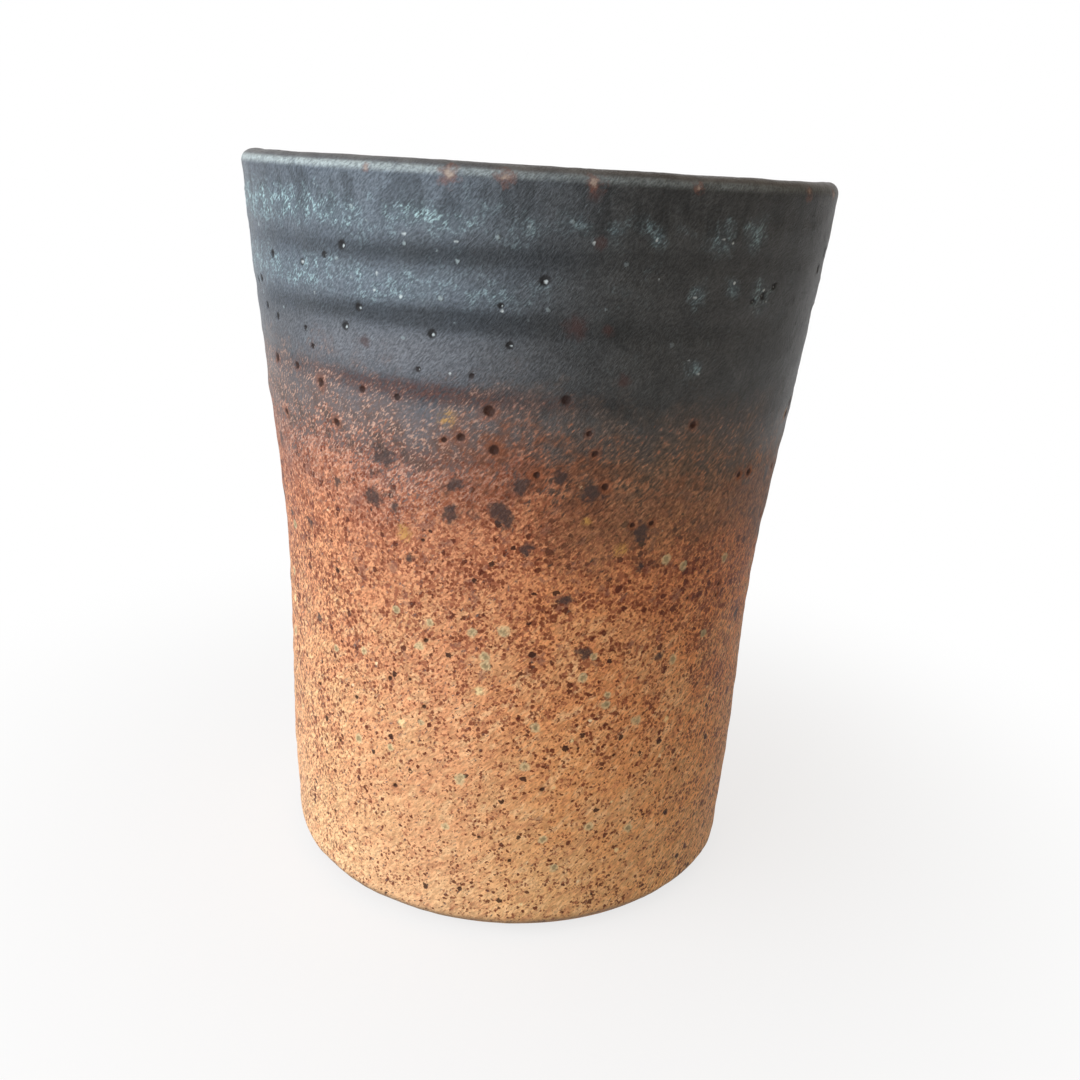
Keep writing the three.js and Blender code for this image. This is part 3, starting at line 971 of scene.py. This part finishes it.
def grid_normals(grid):
    """Unit normals of a grid of points whose columns go round and whose rows run up the outside."""
    across = np.roll(grid, -1, axis=1) - np.roll(grid, 1, axis=1)
    along = np.gradient(grid, axis=0)
    normals = np.cross(across, along)
    return normals / np.linalg.norm(normals, axis=-1)[..., None]


def corner_uv(columns, lengths, shown):
    """The map of a grid's faces, four corners each: cylindrical, with the shown rows kept apart."""
    rows = len(lengths)
    row = np.arange(rows)[:, None, None]
    column = np.arange(columns)[:, None]
    half = columns // 2
    u = (column % half + np.array([0, 1, 1, 0])) / half
    u = np.broadcast_to(MAP_MARGIN + (1 - 2 * MAP_MARGIN) * u, (rows, columns, 4))
    run = np.interp(lengths, (lengths[shown].min(), lengths[shown].max()), (0.0, 1.0))
    above = np.roll(run, -1)
    v = np.stack([run, run, above, above], axis=-1)[:, None]
    shown_v = MAP_FOOT + MAP_HALF_HEIGHT * v + MAP_HALF_PITCH * (column // half)
    hidden_row = (row + MAP_HIDDEN_FILL * np.array([0, 0, 1, 1])) / rows
    hidden_v = MAP_HIDDEN_FOOT + MAP_HIDDEN_HEIGHT * hidden_row
    is_shown = shown & np.roll(shown, -1)
    return np.stack([u, np.where(is_shown[:, None, None], shown_v, hidden_v)], axis=-1)


def pole_uv(columns, start):
    """The map of a fan of triangles round a pole: one small strip of the map's top edge."""
    left = start + np.arange(columns) / columns * MAP_POLE_WIDTH
    right = left + MAP_POLE_WIDTH / columns
    u = np.stack([(left + right) / 2, right, left], axis=-1)
    v = np.broadcast_to([MAP_POLE_TIP, MAP_POLE_FOOT, MAP_POLE_FOOT], u.shape)
    return np.stack([u, v], axis=-1).reshape(-1, 2)


def make_piece(name, grid, normals, fields, uv, material, closed):
    """A mesh from a grid of points in mm. closed joins the last row to the first; otherwise both ends
    close in a point on the axis."""
    rows, columns = grid.shape[:2]
    index = np.arange(rows * columns).reshape(rows, columns)
    beside = np.roll(index, -1, axis=1)
    quads = np.stack([index, beside, np.roll(beside, -1, axis=0), np.roll(index, -1, axis=0)], axis=-1)
    points = grid.reshape(-1, 3)
    point_normals = normals.reshape(-1, 3)
    point_fields = {key: values.ravel() for key, values in fields.items()}
    if closed:
        faces = quads.reshape(-1, 4).tolist()
        face_uv = uv.reshape(-1, 2)
    else:
        first_pole, last_pole = len(points), len(points) + 1
        faces = quads[:-1].reshape(-1, 4).tolist()
        faces += [(first_pole, right, left) for left, right in zip(index[0], beside[0])]
        faces += [(left, right, last_pole) for left, right in zip(index[-1], beside[-1])]
        poles_uv = [pole_uv(columns, start) for start in MAP_POLE_STARTS]
        face_uv = np.concatenate([uv[:-1].reshape(-1, 2), *poles_uv])
        points = np.concatenate([points, [grid[0].mean(axis=0), grid[-1].mean(axis=0)]])
        point_normals = np.concatenate([point_normals, [(0, 0, -1), (0, 0, 1)]])
        for key, values in fields.items():
            ends = [values[0].mean(), values[-1].mean()]
            point_fields[key] = np.concatenate([point_fields[key], ends])

    mesh = bpy.data.meshes.new(name)
    mesh.from_pydata((points * MM).tolist(), [], faces)
    mesh.polygons.foreach_set("use_smooth", np.ones(len(faces), dtype=bool))
    layer = mesh.uv_layers.new(name="OFBake")
    layer.data.foreach_set("uv", face_uv.astype(np.float32).ravel())
    for key, values in point_fields.items():
        kind, slot = ("FLOAT", "value") if fields[key].ndim == 2 else ("FLOAT_VECTOR", "vector")
        attribute = mesh.attributes.new(key, kind, "POINT")
        attribute.data.foreach_set(slot, values.astype(np.float32))
    mesh.normals_split_custom_set_from_vertices(point_normals.tolist())
    mesh.materials.append(material)
    return add_object(name, mesh)


# Outer skin: both coats as one grid, from the heel up the wall and over the lip to the liner

PIT_PULL = 0.42  # share of the way that grid points are drawn towards a pinhole
PIT_PULL_REACH = 2.2  # in the pinhole's radii


def outer_path():
    heel = arc(HEEL_CENTRE, HEEL_RADIUS, HEEL_RADIUS + COAT, -GLAZE_HEEL_ANGLE, 0)
    wall = wall_points(smooth_radius, HEEL_RADIUS, lip_base)
    lip = arc(rim_radius - LIP_RADIUS, lip_base, LIP_RADIUS, 0, 180)
    inside = wall_points(inner_radius, lip_base, liner_line)
    return Path(heel, wall, lip, inside)


def drawn_in(turn, length, path, spots):
    """Grid points drawn towards small blemishes, so that the mesh is fine where they are."""
    moved_turn, moved_length = turn.copy(), length.copy()
    for angle, drop, radius in spots:
        wall_radius = smooth_radius(np.array([rim_top - drop]))[0]
        away = (np.radians(angle) - turn + np.pi) % (2 * np.pi) - np.pi
        up = path.length_up_to(rim_top - drop) - length
        share = PIT_PULL * bell(np.hypot(away * wall_radius, up), PIT_PULL_REACH * radius)
        moved_turn += share * away
        moved_length += share * up
    return moved_turn, moved_length


def outer_relief(points, drop, fields):
    """Height of the skin over its even outline, in mm: uneven throwing, pinholes and blisters."""
    pit = fields["pit"]
    relief = sum(waves(points, *kind) for kind in OUTER_WAVES)
    relief -= PIT_DEPTH * np.clip(1 - (pit / PIT_REACH) ** 2, 0, 1) ** 2
    relief += BRIM_HEIGHT * bell(pit - BRIM_PLACE, BRIM_WIDTH)
    relief += BLISTER_HEIGHT * np.clip(1 - fields["blister"] ** 2, 0, 1) ** 2
    relief -= LIP_INSET * ease(np.abs(drop), *LIP_INSET_DROPS)
    relief *= 1 - ease(-drop, *INSIDE_DROPS)
    return relief - END_DEPTH * ease(drop, *END_DROPS)


def outer_skin():
    path = outer_path()
    line = path.length_at(glaze_line)
    wall_rows = rows_between(0.0, line, OUTER_STEP)
    rim_rows = rows_between(line, path.lengths[-1], OUTER_STEP)[1:]
    rows = np.concatenate([wall_rows, rim_rows])
    turn, length = drawn_in(*round_grid(COLUMNS, rows), path, pits)
    r, z, even, normal = path.surface(turn, length)
    is_inside = length > path.length_at(rim_top)
    drop = np.where(is_inside, z - rim_top, rim_top - z)
    groove = np.where(is_inside, 0.0, ring_shares(z, turn))
    fields = {
        "drop": drop,
        "dip": dip_depth(drop, turn),
        "groove": groove,
        "frost_and_sheen": frost_and_sheen_share(even, drop, turn),
        "painted_sheen": painted_sheen_share(drop, turn, groove),
        "grain": turned_points(r, turn - z / GRAIN_TWIST, z * GRAIN_STRETCH),
    }
    for kind, spots in blemishes_and_glints.items():
        fields[kind] = nearness(even, spots)
    relief = outer_relief(even, drop, fields) - RING_DEPTH * groove**RING_SHARPNESS
    grid = even + normal * relief[..., None]
    return {
        "grid": grid,
        "normals": grid_normals(grid),
        "clay": even - normal * COAT,
        "fields": fields,
        "lengths": rows,
        "line_row": len(wall_rows) - 1,
    }


def coat_piece(name, skin, first, last, material):
    """One coat: the skin's rows from first to last, closed behind by a few rows that lie on the clay."""
    shown = np.arange(first, last + 1)
    hidden = np.linspace(last, first, HIDDEN_ROWS).round().astype(int)
    rows = np.concatenate([shown, hidden])
    grid = np.concatenate([skin["grid"][shown], skin["clay"][hidden]])
    normals = np.concatenate([skin["normals"][shown], -skin["normals"][hidden]])
    fields = {key: values[rows] for key, values in skin["fields"].items()}
    is_shown = np.arange(len(rows)) < len(shown)
    uv = corner_uv(COLUMNS, skin["lengths"][rows], is_shown)
    return make_piece(name, grid, normals, fields, uv, material, True)


# Liner and clay: outlines that run from the axis underneath, up the outside and back down inside

LINER_RING_PITCH = 5.6
LINER_RING_HEIGHT = 0.1
LINER_RING_START = (1, 7)  # mm from the liner's edge over which they set in
LINER_RING_END = (0, 6)  # radii of the floor over which they run out
LINER_CREST = (0.2, 1)  # shares of a ring's height that count as its crest

# The clay's hidden faces stay this far behind the coats
OUTER_GAP = 0.25
LIP_GAP = 0.2
INNER_GAP = 0.1

# Turning marks and grit of the bare foot, mm
TURNING_PITCH = 0.9
TURNING_DEPTH = 0.035
GRIT_DEPTH = 0.02
GRIT_LIMIT = 1.5
MARK_HEIGHTS = (2.4, 1.6)  # the marks set in between two heights and two radii
MARK_RADII = (24.5, 23.5)


def bowl(top, gap):
    """The inside's outline from a height down to the middle of the floor, moved into the wall by a gap."""
    centre = inner_radius(np.array([floor_curve_top]))[0] - FLOOR_CURVE
    wall = wall_points(lambda z: inner_radius(z) + gap, top, floor_curve_top)
    curve = arc(centre, floor_curve_top, FLOOR_CURVE + gap, 0, -90)
    return np.concatenate([wall, curve, [(centre, floor_top - gap), (0.0, floor_top - gap)]])


def liner_piece(material):
    path = Path(bowl(liner_line, COAT)[::-1], bowl(liner_line, 0.0))
    edge = path.length_at(liner_line)
    start = path.length_at(liner_line, last=True)
    rows = rows_along((0.0, edge, start, path.lengths[-1]), [INNER_STEP] * 3)
    turn, length = round_grid(INNER_COLUMNS, rows)
    r, z, even, normal = path.surface(turn, length)
    shown = rows >= start
    along = length - start
    spiral = np.cos(2 * np.pi * along / LINER_RING_PITCH - turn)
    fade = ease(along, *LINER_RING_START) * shown[:, None]
    uneven = LINER_RING_HEIGHT * spiral + waves(even, *LINER_WAVES)
    relief = uneven * fade * ease(r, *LINER_RING_END)
    grid = even + normal * relief[..., None]
    fields = {"height": z, "groove": ease(spiral, *LINER_CREST) * fade}
    uv = corner_uv(INNER_COLUMNS, rows, shown)
    normals = np.concatenate([grid_normals(grid[~shown]), grid_normals(grid[shown])])
    return make_piece("liner_glaze_visual", grid, normals, fields, uv, material, False)


def clay_piece(material):
    recess = [(0.0, FOOT_RECESS), (FOOT_RING_INNER - RECESS_BEVEL, FOOT_RECESS)]
    ring = [(FOOT_RING_INNER, 0.0), (HEEL_CENTRE, 0.0)]
    heel = arc(HEEL_CENTRE, HEEL_RADIUS, HEEL_RADIUS, -90, 0)
    outside = wall_points(lambda z: smooth_radius(z) - COAT - OUTER_GAP, HEEL_RADIUS, lip_base)
    lip = arc(rim_radius - LIP_RADIUS, lip_base, LIP_RADIUS - COAT - LIP_GAP, 0, 180)
    path = Path(recess, ring, heel, outside, lip, bowl(lip_base, COAT + INNER_GAP))
    heel_end = path.length_at(HEEL_RADIUS)
    rows = rows_along((0.0, heel_end, path.lengths[-1]), (FOOT_STEP, HIDDEN_STEP))
    turn, length = round_grid(INNER_COLUMNS, rows)
    r, z, even, normal = path.surface(turn, length)
    foot = ease(z, *MARK_HEIGHTS) * ease(r, *MARK_RADII)
    lines = TURNING_DEPTH * (1 + np.cos(2 * np.pi * r / TURNING_PITCH + turn))
    grit = GRIT_DEPTH * (GRIT_LIMIT + np.clip(waves(even, *GRIT_WAVES), -GRIT_LIMIT, GRIT_LIMIT))
    relief = -(lines + grit) * foot
    grid = even + normal * relief[..., None]
    uv = corner_uv(INNER_COLUMNS, rows, rows < heel_end)
    return make_piece("stoneware_visual", grid, grid_normals(grid), {}, uv, material, False)


def place_piece(piece, node):
    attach(piece, "root")
    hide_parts(node)


skin = outer_skin()
line_row, last_row = skin["line_row"], len(skin["lengths"]) - 1
wall_coat = coat_piece("speckled_wall_visual", skin, 0, line_row, outer_glaze("speckled_glaze"))
dark_coat = coat_piece("dark_rim_visual", skin, line_row, last_row, outer_glaze("dark_glaze"))
liner = liner_piece(liner_material("liner_glaze"))
clay = clay_piece(clay_material("stoneware"))
place_piece(wall_coat, "speckled_wall_glaze")
place_piece(dark_coat, "dark_rim_glaze")
place_piece(liner, "liner_glaze")
place_piece(clay, "stoneware_body")


# Stage: a white floor that fades into a white surround, a soft key from the front left and a fill all round

FLOOR_SIZE = 6.0
GLOW_DISTANCES = (0.03, 0.1)  # from the axis, where the floor's glow starts to grow and where it is full
LEAST_GLOW = 0.75
KEY_AZIMUTH = -56.0
KEY_ELEVATION = 13.0
KEY_DISTANCE = 0.4
KEY_WIDTH = 0.5
KEY_HEIGHT = 0.3
KEY_POWER = 2.0
KEY_COLOUR = (0.84, 0.92, 1.0)

# The fill's colour from left to right, and its strength level with the cup and straight above
FILL_BY_SIDE = (
    (-1.0, (0.5, 0.53, 0.56, 1)),
    (0.0, (0.3, 0.27, 0.24, 1)),
    (1.0, (0.2, 0.15, 0.102, 1)),
)
FILL_STRENGTHS = (0.9, 2.2)
BEHIND = (0.7, 0.9)  # shares of their way to the back at which reflections turn white


def floor_material():
    material, g = new_material("floor")
    place = g.node("ShaderNodeTexCoord")["Object"]
    away = g.node("ShaderNodeVectorMath", {0: place}, operation="LENGTH")["Value"]
    white = g.fade(away, *GLOW_DISTANCES, LEAST_GLOW, 1.0)
    seen = g.seen()
    matt = g.node("ShaderNodeBsdfDiffuse", {"Color": g.mix(seen, FLOOR_LIT, FLOOR_SHOWN)})[0]
    glow = g.node("ShaderNodeEmission", {"Color": WHITE})[0]
    blend = g.node("ShaderNodeMixShader", {0: g.product(white, seen), 1: matt, 2: glow})[0]
    g.node("ShaderNodeOutputMaterial", {"Surface": blend})
    return material


def make_floor():
    half = FLOOR_SIZE / 2
    mesh = bpy.data.meshes.new("floor")
    corners = [(-half, -half, 0), (half, -half, 0), (half, half, 0), (-half, half, 0)]
    mesh.from_pydata(corners, [], [(0, 1, 2, 3)])
    mesh.materials.append(floor_material())
    floor = add_object("floor", mesh)


def make_key():
    data = bpy.data.lights.new("key", "AREA")
    data.shape = "RECTANGLE"
    data.size = KEY_WIDTH
    data.size_y = KEY_HEIGHT
    data.energy = KEY_POWER
    data.color = KEY_COLOUR
    elevation = math.radians(KEY_ELEVATION)
    toward = Vector(turned_points(math.cos(elevation), math.radians(KEY_AZIMUTH), math.sin(elevation)))
    lamp = add_object("key", data)
    lamp.location = Vector((0, 0, rim_top / 2 * MM)) + toward * KEY_DISTANCE
    lamp.rotation_euler = (-toward).to_track_quat("-Z", "Y").to_euler()


def make_world():
    world = bpy.data.worlds.new("surround")
    world.use_nodes = True
    bpy.context.scene.world = world
    g = Graph(world.node_tree)
    direction = g.parts(g.node("ShaderNodeTexCoord")["Generated"])
    fill = g.ramp(direction["X"], FILL_BY_SIDE)
    fill = g.shade(fill, g.fade(direction["Z"], 0.0, 1.0, *FILL_STRENGTHS))
    straight = g.node("ShaderNodeLightPath")["Is Camera Ray"]
    behind = g.product(g.fade(direction["Y"], *BEHIND), g.over(g.seen(), straight))
    colour = g.mix(g.sum(straight, behind), fill, WHITE)
    background = g.node("ShaderNodeBackground", {"Color": colour})[0]
    g.node("ShaderNodeOutputWorld", {"Surface": background})


make_floor()
make_key()
make_world()
bpy.context.scene.view_settings.view_transform = "Standard"
